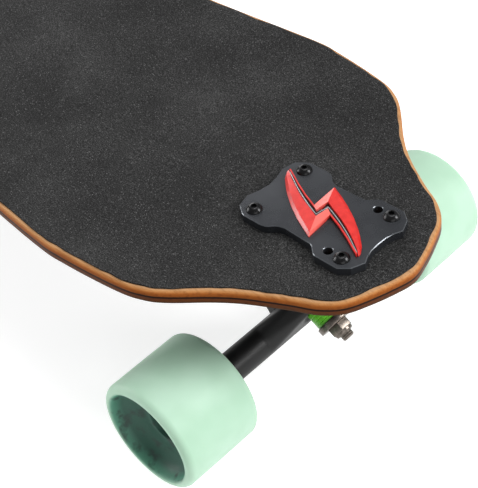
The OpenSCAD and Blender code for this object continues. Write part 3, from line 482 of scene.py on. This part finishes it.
# ---- deck and grip tape
deck = {
    "length": 970, "width": 229, "thickness": 10, "concave": 11, "arch": 14, "top": 119,
    "flatHalf": 28, "mountFlat": 45, "bevel": 2.2, "holeRadius": 2.75, "drillDepth": 40, "drillHeight": 115,
    "cell": (14, 9), "cellShift": 0.37,  # spacing of the cuts that let the sheets bend, clear of other edges
    # distance inboard of the tip, and the half width as a part of the greatest
    "outline": [(0, 0), (3, 0.12), (8, 0.245), (14, 0.355), (24, 0.437), (38, 0.5), (58, 0.603), (72, 0.702),
                (88, 0.848), (98, 0.912), (113, 0.955), (150, 0.997), (176, 1), (262, 0.935), (326, 0.905),
                (406, 0.874), (485, 0.86)],
    "steps": 6,
}


def deckLift(x, y):
    span = truck["x"] - deck["mountFlat"]
    inboard = span - abs(x)
    archPart = 0 if inboard <= 0 else deck["arch"] * (1 - math.cos(math.pi * inboard / span)) / 2
    reach = max(abs(y) - deck["flatHalf"], 0) / (deck["width"] / 2 - deck["flatHalf"])
    return archPart + deck["concave"] * reach ** 2


# plan outline of the deck, moved inwards, with an optional ragged edge
def deckOutline(inset, ragged=0.0):
    keys = deck["outline"]
    count = len(keys)

    def key(i):
        if i < 0:
            return Vector((keys[1][0], -keys[1][1]))
        if i >= count:
            return Vector((deck["length"] - keys[2 * count - 2 - i][0], keys[2 * count - 2 - i][1]))
        return Vector(keys[i])
    quarter = []
    for i in range(count - 1):
        p, q, r, s = (key(i + k) for k in (-1, 0, 1, 2))
        for j in range(deck["steps"]):
            t = j / deck["steps"]
            k = 0.5 * (2 * q + (r - p) * t + (2 * p - 5 * q + 4 * r - s) * t ** 2
                       + (3 * q - p - 3 * r + s) * t ** 3)
            quarter.append((deck["length"] / 2 - k.x, k.y * deck["width"] / 2))
    quarter.append((0, keys[-1][1] * deck["width"] / 2))
    half = quarter + [(-x, y) for x, y in quarter[-2::-1]]
    loop = half + [(x, -y) for x, y in half[-2:0:-1]]
    moved = []
    for i, (x, y) in enumerate(loop):
        before, after = Vector(loop[i - 1]), Vector(loop[(i + 1) % len(loop)])
        along = (after - before).normalized()
        shift = inset + ragged * noise.noise((x / 9, y / 9, 3.7)) if ragged else inset
        moved.append((x - along.y * shift, y + along.x * shift))
    return moved


def cutAcross(bm, stepX, stepY):
    for axis, step, reach in ((0, stepX, deck["length"] / 2), (1, stepY, deck["width"] / 2)):
        normal = Vector((1, 0, 0)) if axis == 0 else Vector((0, 1, 0))
        count = int(reach / step)
        for i in range(-count, count + 1):
            bmesh.ops.bisect_plane(bm, geom=bm.verts[:] + bm.edges[:] + bm.faces[:], dist=1e-3,
                                   plane_co=normal * (i * step + deck["cellShift"]), plane_no=normal)


# drills the truck holes through a flat slab
def drill(bm, radius):
    cutter = bmesh.new()
    for end in (1, -1):
        for x, y in boltSpots + spareSpots:
            hole = bmesh.new()
            bmesh.ops.create_cone(hole, cap_ends=True, segments=24, radius1=radius, radius2=radius,
                                  depth=deck["drillDepth"])
            joinInto(cutter, hole, atTruck(end) @ Matrix.Translation((x, y, deck["drillHeight"])))
    return carve(bm, cutter)


low, high = deck["top"] - deck["thickness"], deck["top"]
bm = slab(deckOutline(0), low, high)
bevelEdges(bm, rimEdges(bm, low) + rimEdges(bm, high), deck["bevel"], 3)
bm = drill(bm, deck["holeRadius"])
cutAcross(bm, *deck["cell"])
plyLayer = bm.verts.layers.float.new("ply")
for v in bm.verts:
    v[plyLayer] = (v.co.z - low) / deck["thickness"]
    v.co.z += deckLift(v.co.x, v.co.y)
addPiece(bm, "deckBoard", "deck", angle=25)

gripTape = {"inset": 2.5, "ragged": 0.9, "low": 119.05, "high": 120}
bm = slab(deckOutline(gripTape["inset"], gripTape["ragged"]), gripTape["low"], gripTape["high"])
bm = drill(bm, deck["holeRadius"])
cutAcross(bm, *deck["cell"])
for v in bm.verts:
    v.co.z += deckLift(v.co.x, v.co.y)
addPiece(bm, "gripSheet", "grip_tape")
print("deck and grip tape made")

# ---- top plates
plate = {
    "low": 120.1, "high": 125, "corner": 2.2,
    "chamfer": 1.7,  # asked for: the bevel's clamp holds it to 0.39 at this outline's short edges
    "holeDepth": 20, "holeHeight": 122, "lipIn": 0.2, "lipOut": 0.6, "lipDepth": 0.8,
    "half": [(40, 0), (40.3, 6), (41.6, 11), (43.8, 15.5), (40.5, 23.5), (34.5, 28), (18, 28), (12, 22.6),
             (-8, 21.8), (-12.5, 23), (-17, 27.2), (-20, 28), (-34, 28), (-41, 23), (-43, 14.5), (-40.6, 7),
             (-39.6, 0)],
    "rounded": (6, 7, 9, 10, 11, 12),
}


def makePlate(end, node):
    half = plate["half"]
    outline = half + [(x, -y) for x, y in half[-2:0:-1]]
    bm = slab(outline, plate["low"], plate["high"])
    soft = [half[i] for i in plate["rounded"]]
    upright = [e for e in bm.edges if abs(e.verts[0].co.z - e.verts[1].co.z) > 1
               and any(abs(e.verts[0].co.x - x) < 0.01 and abs(abs(e.verts[0].co.y) - y) < 0.01 for x, y in soft)]
    bevelEdges(bm, upright, plate["corner"], 4)
    bevelEdges(bm, rimEdges(bm, plate["high"]), plate["chamfer"], 1)
    cutter = bmesh.new()
    for x, y in boltSpots + spareSpots:
        hole = bmesh.new()
        bmesh.ops.create_cone(hole, cap_ends=True, segments=32, radius1=deck["holeRadius"],
                              radius2=deck["holeRadius"], depth=plate["holeDepth"])
        joinInto(cutter, hole, Matrix.Translation((x, y, plate["holeHeight"])))
        lip = bmesh.new()
        bmesh.ops.create_cone(lip, cap_ends=True, segments=32, radius1=deck["holeRadius"] - plate["lipIn"],
                              radius2=deck["holeRadius"] + plate["lipOut"], depth=plate["lipDepth"])
        joinInto(cutter, lip, Matrix.Translation((x, y, plate["high"] - plate["lipIn"])))
    bm = carve(bm, cutter, True)
    bm.normal_update()
    rim = bm.faces.layers.float.new("rim")
    for face in bm.faces:  # the sloping faces are the machined edges, painted brighter as a highlight
        face[rim] = float(0.4 < face.normal.z < 0.9)
    bmesh.ops.transform(bm, matrix=atTruck(end), verts=bm.verts)
    addPiece(bm, node + "Piece", node, angle=20)


for end, node in ((1, "front_top_plate"), (-1, "rear_top_plate")):
    makePlate(end, node)

# ---- lightning sign: two facetted red blades and two thin red strips round a black groove with a silver line
sign = {
    "low": 125, "groove": 126.2, "strip": 127.2, "rim": 125.7, "foot": 127.3, "ridge": 127.95,
    "chamfer": 1.7, "slimPart": 0.42, "zigDrop": 0.25, "tipDrop": 0.3, "clear": 0.05, "edgeBevel": 0.16,
    # blade: outer edge from the tip to the corner, then the zig and the inner edge back to the tip
    "outer": [(37.9, -14.4), (38.0, -12.6), (35, -8), (29.3, -2.6), (25.5, 0.6), (17, 6.7), (7.5, 12.3),
              (0.4, 15.8), (-7.5, 19.4)],
    "zig": [(-5.9, -0.3), (-2.1, -2.4)],
    "inner": [(-1.3, 6.4), (4.9, 3.8), (9.8, 1.9), (14.2, 0), (19.5, -2.6), (25, -5.7), (30.5, -9), (35.6, -12.5)],
    "stripOuter": [(6.2, -0.5), (15.3, -4.1), (25, -8.7), (31, -12.0), (36.9, -15.2)],
    "stripInner": [(37.4, -14.5), (31.0, -11.15), (25.1, -7.85), (15.5, -3.25), (5.0, 0.9)],
    "floor": [(6.2, -0.5), (15.3, -4.1), (25, -8.7), (31, -12.0), (36.9, -15.2), (37.6, -14.2), (31, -8),
              (19.5, -1.6), (9.8, 2.9), (0, 7.4), (-1.8, 6.6)],
    "line": [(36.3, -13.6), (30.6, -10.1), (25, -6.8), (19.4, -3.8), (14.4, -1.4), (9.8, 0.7), (4.6, 2.8),
             (0.7, 4.2), (0, 0)], "lineWidth": 0.3,
}


def bladeMesh():
    bm = bmesh.new()
    facetHighlightLayer = bm.verts.layers.float.new("facet")

    def ring(points, height):
        return [bm.verts.new((x, y, height)) for x, y in points]
    # the outer edge is chamfered: the top edge is pulled in towards the groove, less where the blade is slim
    pulled = []
    for x, y in sign["outer"]:
        nearest = min((Vector(q) for q in sign["inner"]), key=lambda q: (q - Vector((x, y))).length)
        way = nearest - Vector((x, y))
        pulled.append(tuple(Vector((x, y)) + way * min(sign["chamfer"] / way.length, sign["slimPart"])))
    outer, rim = ring(pulled, sign["foot"]), ring(sign["outer"], sign["rim"])
    zig, inner = ring(sign["zig"], sign["foot"]), ring(sign["inner"], sign["ridge"])
    zig[1].co.z = sign["ridge"] - sign["zigDrop"]
    for v in inner[-2:]:
        v.co.z -= sign["tipDrop"]
    # the short facet by the zig has its own corners, so that it can be painted brighter as a painted highlight
    short = [bm.verts.new(v.co) for v in (outer[-1], rim[-1], zig[0], zig[1], inner[0])]
    for v in short:
        v[facetHighlightLayer] = 1.0
    bm.faces.new(short)
    bm.faces.new(outer + inner)
    for i in range(len(rim) - 1):
        bm.faces.new((rim[i], rim[i + 1], outer[i + 1], outer[i]))
    bm.faces.new((inner[-1], rim[0], outer[0]))
    bmesh.ops.triangulate(bm, faces=bm.faces, quad_method="BEAUTY", ngon_method="BEAUTY")
    # side walls and the underside
    low = bmesh.ops.extrude_face_region(bm, geom=list(bm.faces), use_keep_orig=True)
    for v in low["geom"]:
        if isinstance(v, bmesh.types.BMVert):
            v.co.z = sign["low"] + sign["clear"]
            v[facetHighlightLayer] = 0.0
    bmesh.ops.recalc_face_normals(bm, faces=bm.faces)
    return bm


for end, node in ((1, "front_emblem"), (-1, "rear_emblem")):
    blades, lines, floors = bmesh.new(), bmesh.new(), bmesh.new()
    for turn in (0, math.pi):
        place = atTruck(end) @ Matrix.Rotation(turn, 4, "Z")
        joinInto(blades, bladeMesh(), place)
        joinInto(blades, slab(sign["stripOuter"] + sign["stripInner"], sign["low"] + sign["clear"],
                              sign["strip"]), place)
        joinInto(floors, slab(sign["floor"] + [(0, 0)], sign["low"] + 0.02, sign["groove"]), place)
        points = [Vector(p) for p in sign["line"]]
        sides = []
        for i, point in enumerate(points):
            way = (points[min(i + 1, len(points) - 1)] - points[max(i - 1, 0)]).normalized()
            sides.append(Vector((-way.y, way.x)) * sign["lineWidth"])
        left = [tuple(p - q) for p, q in zip(points, sides)]
        right = [tuple(p + q) for p, q in zip(points, sides)]
        joinInto(lines, slab(left + right[::-1], sign["groove"] - 0.3, sign["groove"] + 0.45), place)
    sharp = [e for e in blades.edges if len(e.link_faces) == 2 and e.calc_face_angle() > math.radians(12)]
    bevelEdges(blades, sharp, sign["edgeBevel"], 2)
    addPiece(blades, node + "_blades", node, angle=12)
    addPiece(floors, node + "_groove", [], finish=material["grooveLacquer"], body="board")
    addPiece(lines, node + "_lines", [], finish=material["silverLine"], body="board")
print("top plates and signs made")

# ---- mounting bolts and their nuts
bolt = {"radius": 2.5, "tip": 92, "seat": 125, "head": 4.75, "socket": 1.75, "turn": 0.4}


def makeBolt():
    dome = arc((0, -2.6), 5.35, 29, 62, 8)
    profile = [(0, bolt["tip"]), (1.9, bolt["tip"]), (bolt["radius"], bolt["tip"] + 0.7),
               (bolt["radius"], bolt["seat"]), (bolt["head"], bolt["seat"]), (bolt["head"], bolt["seat"] + 0.35)]
    profile += [(min(r, bolt["head"] - 0.05), bolt["seat"] + 0.35 + z) for r, z in dome]
    rimRadius, rimHeight = profile[-1]
    profile += [(bolt["socket"] * 1.22, rimHeight), (bolt["socket"] * 1.08, rimHeight - 0.3),
                (bolt["socket"] * 1.02, bolt["seat"] + 0.9), (0, bolt["seat"] + 0.7)]
    body = lathe(profile, 48)
    for v in body.verts:  # the socket's wall drawn in to six flats
        reach = math.hypot(v.co.x, v.co.y)
        if v.co.z > bolt["seat"] + 0.8 and 0.5 < reach < bolt["socket"] * 1.25:
            turn = math.atan2(v.co.y, v.co.x) % (math.pi / 3) - math.pi / 6
            wanted = bolt["socket"] * 0.9 / math.cos(turn)
            v.co.x, v.co.y = v.co.x * wanted / reach, v.co.y * wanted / reach
    return body


bolts = bmesh.new()
for end in (1, -1):
    for index, (x, y) in enumerate(boltSpots):
        joinInto(bolts, makeBolt(), atTruck(end) @ Matrix.Translation((x, y, 0)) @ Matrix.Rotation(
            bolt["turn"] * index, 4, "Z"))
addPiece(bolts, "socketBolts", "mount_bolts", angle=32)

# ---- kingpin, its nut, cup washers and bushings, along the kingpin's axis
kingpin = {"radius": 4, "tip": 31, "head": -35.5, "thread": 20, "pitch": 1.25, "threadDepth": 0.35}
nut = {"low": 20, "flat": 5.4, "high": 27.5, "across": 7.5, "collar": 5.9}
washer = {"radius": 11.2, "thickness": 2.5, "rim": 1.6, "wall": 1.1}
bushing = {"radius": 10, "bore": 4.05, "board": (-19, -5), "road": (5, 17.5), "edge": 1.1, "groove": 0.25}


def makeKingpin():
    profile = [(0, kingpin["head"] - 5.5), (kingpin["radius"], kingpin["head"] - 5.5),
               (kingpin["radius"], kingpin["thread"])]
    z = kingpin["thread"]
    while z + kingpin["pitch"] < kingpin["tip"] - 0.6:
        profile += [(kingpin["radius"], z + 0.2), (kingpin["radius"] - kingpin["threadDepth"], z + 0.7),
                    (kingpin["radius"], z + 1.2)]
        z += kingpin["pitch"]
    profile += [(kingpin["radius"] - 0.1, kingpin["tip"] - 0.8), (kingpin["radius"] - 0.9, kingpin["tip"]),
                (0, kingpin["tip"])]
    made = lathe(profile, 40)
    head = bmesh.new()
    bmesh.ops.create_cone(head, cap_ends=True, segments=6, radius1=7.4, radius2=7.4, depth=5.5)
    bevelEdges(head, head.edges[:], 0.35, 2)
    joinInto(made, head, Matrix.Translation((0, 0, kingpin["head"] - 2.75)))
    return made


def makeNut():
    body = bmesh.new()
    bmesh.ops.create_cone(body, cap_ends=True, segments=6, radius1=nut["across"], radius2=nut["across"],
                          depth=nut["flat"])
    bmesh.ops.translate(body, vec=(0, 0, nut["low"] + nut["flat"] / 2), verts=body.verts)
    bevelEdges(body, body.edges[:], 0.45, 3)
    collar = lathe([(4.0, nut["low"] + nut["flat"] - 0.4), (nut["collar"] + 0.2, nut["low"] + nut["flat"] - 0.4)]
                   + arc((nut["collar"] - 1.1, nut["high"] - 1.1), 1.1, 0, 90, 4) + [(4.0, nut["high"])], 48)
    joinInto(body, collar)
    return body


def makeWasher():
    t, r, rim = washer["thickness"], washer["radius"], washer["rim"]
    profile = [(4, 0)] + arc((r - 0.5, 0.5), 0.5, -90, 0, 3) + arc((r - 0.45, t + rim - 0.45), 0.45, 0, 90, 3)
    profile += [(r - washer["wall"], t + rim - 0.2), (r - washer["wall"] - 0.3, t), (4, t)]
    return lathe(profile, 64)


def makeBushing(span):
    low, high = span
    r, edge = bushing["radius"], bushing["edge"]
    profile = [(bushing["bore"], low)] + arc((r - edge, low + edge), edge, -90, 0, 5)
    for part in (0.3, 0.5, 0.7):
        z = low + (high - low) * part
        profile += [(r, z - 0.35), (r - bushing["groove"], z), (r, z + 0.35)]
    profile += arc((r - edge, high - edge), edge, 0, 90, 5) + [(bushing["bore"], high)]
    return lathe(profile, 64)


pins, nuts, washers = bmesh.new(), bmesh.new(), bmesh.new()
for end in (1, -1):
    joinInto(pins, makeKingpin(), onKingpin(end))
    joinInto(nuts, makeNut(), onKingpin(end))
    joinInto(washers, makeWasher(), onKingpin(end) @ Matrix.Translation((0, 0, -21.5)))
    joinInto(washers, makeWasher(), onKingpin(end) @ Matrix.Translation((0, 0, 20)) @ Matrix.Rotation(
        math.pi, 4, "X"))
    name = "front" if end > 0 else "rear"
    for kind, seat, ring in (("board", -19, -5), ("road", 17.5, 5)):
        bm = makeBushing(bushing[kind])
        bmesh.ops.transform(bm, matrix=onKingpin(end), verts=bm.verts)
        piece = addPiece(bm, f"{name}_{kind}_urethane", f"{name}_{kind}_bushing", body="")
        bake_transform(piece)
addPiece(pins, "threadedKingpins", "kingpins")
addPiece(nuts, "lockNuts", "kingpin_nuts")
addPiece(washers, "dishedWashers", "cup_washers")
print("bolts, kingpins and bushings made")


# ---- castings: the CAD shape with cast fillets
casting = {"voxel": 0.9, "rounds": 8}


def makeCasting(node):
    piece = addPiece(cadCopy(node), node + "_casting", node, angle=60)
    remesh = piece.modifiers.new("remesh", "REMESH")
    remesh.mode, remesh.voxel_size, remesh.use_smooth_shade = "VOXEL", casting["voxel"] * mm, True
    smooth = piece.modifiers.new("smooth", "SMOOTH")
    smooth.factor, smooth.iterations = 0.5, casting["rounds"]
    bake(piece)
    piece.data.polygons.foreach_set("use_smooth", [True] * len(piece.data.polygons))


for node in ("front_hanger", "rear_hanger", "front_baseplate", "rear_baseplate"):
    makeCasting(node)
print("castings made")

# ---- wheels
wheel = {"radius": 35.5, "inner": 74.5, "outer": 129.5, "lip": 4.6, "steps": 128}
bowl = [(30.3, 129.3), (29.8, 128.8), (29.4, 127.9), (29.1, 126.6), (28.8, 125.3), (28.3, 123.8), (27.4, 122.2),
        (26.0, 120.5), (24.0, 118.8), (21.2, 117.5), (19, 116.9), (16.5, 116.6), (13.5, 116.5),
        (11.7, 116.45), (11.2, 116), (11.2, 102.5), (16, 102.5), (16, 77.5), (24, 76), (27, 74.6)]
ringSeat = [(29.2, 129.5), (28.2, 128.6), (28, 127.6), (28, 76.4), (28.2, 75.4), (29.2, 74.5)]


def makeTyrePiece(end, side, inner, node):
    lip = wheel["lip"]
    profile = arc((wheel["radius"] - lip, wheel["outer"] - lip), lip, 0, 90, 10) + inner
    profile += arc((wheel["radius"] - lip, wheel["inner"] + lip), lip, -90, 0, 10)
    # the casting's faint split line round the middle
    middle = (wheel["inner"] + wheel["outer"]) / 2
    profile += [(wheel["radius"], middle - 14), (wheel["radius"] + 0.05, middle), (wheel["radius"], middle + 14)]
    bm = lathe(profile, wheel["steps"])
    # how much painted shade each point of the bowl gets: more the further in from the lip
    layer = bm.verts.layers.float.new("bowl")
    for v in bm.verts:
        deep, reach = wheel["outer"] - v.co.z, math.hypot(v.co.x, v.co.y)
        inside = inner is bowl and reach < 30.9 and deep < 40
        v[layer] = min(max(0.06 + 0.3 * (30.9 - reach) + 0.035 * max(28 - reach, 0), 0), 1) if inside else 0.0
    bmesh.ops.transform(bm, matrix=onAxle(end, side), verts=bm.verts)
    addPiece(bm, node + "_cast", node, angle=50)


for name, side in (("left", 1), ("right", -1)):
    makeTyrePiece(1, side, bowl, f"front_{name}_tyre")
    makeTyrePiece(-1, -side, ringSeat, f"rear_{name}_tyre")
print("wheels made")

# ---- motor cables, curving down to the tail truck's motors
cable = {
    "radius": 3,
    "route": [(-310, 40, 93), (-318, 40, 93), (-326, 40.2, 92.6), (-334, 40.8, 91), (-342, 41.6, 88),
              (-350, 42.4, 83), (-358, 43.4, 76.5), (-366, 44.6, 69.5), (-374, 46, 62.5), (-381, 47.6, 56.2),
              (-386, 49, 51), (-389.5, 49.9, 46.4)],
    "start": 2, "end": 10,
}
for name, side in (("left", 1), ("right", -1)):
    route = [Vector((x, side * y, z)) * mm for x, y, z in cable["route"]]
    line = bpy.data.curves.new("cableLine", "CURVE")
    line.dimensions, line.bevel_depth, line.bevel_resolution = "3D", cable["radius"] * mm, 4
    line.resolution_u, line.use_fill_caps = 4, True
    spline = line.splines.new("BEZIER")
    spline.bezier_points.add(len(route) - 1)
    for point, place in zip(spline.bezier_points, route):
        point.co = place
        point.handle_left_type = point.handle_right_type = "AUTO"
    holder = bpy.data.objects.new("cableLine", line)
    scene.collection.objects.link(holder)
    mesh = bpy.data.meshes.new_from_object(holder.evaluated_get(bpy.context.evaluated_depsgraph_get()))
    bpy.data.objects.remove(holder)
    bm = bmesh.new()
    bm.from_mesh(mesh)
    bpy.data.meshes.remove(mesh)
    bmesh.ops.remove_doubles(bm, verts=bm.verts, dist=1e-6)
    bmesh.ops.recalc_face_normals(bm, faces=bm.faces)
    bmesh.ops.scale(bm, vec=(1000, 1000, 1000), verts=bm.verts)
    piece = addPiece(bm, f"{name}_motor_lead", f"{name}_motor_cable", body="")
    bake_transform(piece)

# ---- parts whose CAD shape is right get soft edges
softEdges = {
    "mount_nuts": 0.3, "riser_pads": 0.5, "front_axle_nuts": 0.4, "rear_axle_nuts": 0.3,
    "battery_case": 1.0, "controller_case": 1.0, "heat_sink": 0.3, "case_screws": 0.25, "cable_glands": 0.4,
    "button_bezel": 0.3, "power_button": 0.5, "charge_cap": 0.4, "status_lens": 0.3,
    "rear_left_cover": 0.3, "rear_right_cover": 0.3, "rear_left_rotor": 0.25, "rear_right_rotor": 0.25,
}
for node, offset in softEdges.items():
    softened(node, offset)
print("soft edges made:", len(softEdges))

# ---- camera, floor and light
shot = {
    "place": (0.8030, -0.3899, 0.6153), "lens": 98.93,
    "right": (0.7156, 0.6912, -0.1006), "up": (-0.4223, 0.5429, 0.7258), "back": (0.5563, -0.4770, 0.6804),
}
camera = bpy.data.objects.new("camera", bpy.data.cameras.new("camera"))
camera.data.lens = shot["lens"]
camera.data.clip_start = 0.05
scene.collection.objects.link(camera)
camera.matrix_world = Matrix.Translation(shot["place"]) @ Matrix(
    [shot["right"], shot["up"], shot["back"]]).transposed().to_4x4()
scene.camera = camera
scene.view_settings.view_transform = "Standard"

studio = {
    "floor": "#c8c8c8", "glow": 0.68, "world": 0.36,
    "lamps": [  # place, aim, size in metres, watts
        ((1.62, 0.86, 1.1), (0.4, 0.0, 0.1), 0.65, 28),
        ((0.2, 0.5, 2.3), (0.3, 0.0, 0.1), 1.3, 27),
        ((-1.1, 0.8, 0.8), (0.3, 0.0, 0.1), 0.9, 11),
        ((-1.3, -0.75, 0.6), (0.4, -0.1, 0.04), 0.9, 18),
        ((1.5, -0.6, 0.5), (0.45, 0.0, 0.1), 0.9, 5),
    ],
}
floorMesh = bmesh.new()
bmesh.ops.create_grid(floorMesh, x_segments=1, y_segments=1, size=30)
mesh = bpy.data.meshes.new("floor")
floorMesh.to_mesh(mesh)
floorMesh.free()
floor = bpy.data.objects.new("floor", mesh)
scene.collection.objects.link(floor)
made, tree = newTree("studioPaper")
shader = addNode(tree, "BsdfPrincipled", {
    "Base Color": paint(studio["floor"]), "Roughness": 0.9, "Specular IOR Level": 0.1,
    "Emission Color": (1, 1, 1, 1), "Emission Strength": studio["glow"]})
addNode(tree, "OutputMaterial", None, {0: shader.outputs[0]})
mesh.materials.append(made)
floor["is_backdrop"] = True
world = bpy.data.worlds.new("studio")
scene.world = world
world.use_nodes = True
world.node_tree.nodes["Background"].inputs[0].default_value = (1, 1, 1, 1)
world.node_tree.nodes["Background"].inputs[1].default_value = studio["world"]
for place, aim, size, watts in studio["lamps"]:
    lamp = bpy.data.objects.new("softbox", bpy.data.lights.new("softbox", "AREA"))
    lamp.data.size, lamp.data.energy = size, watts
    scene.collection.objects.link(lamp)
    lamp.location = place
    lamp.rotation_euler = (Vector(aim) - Vector(place)).to_track_quat("-Z", "Y").to_euler()
print("camera, floor and light made")

low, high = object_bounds()
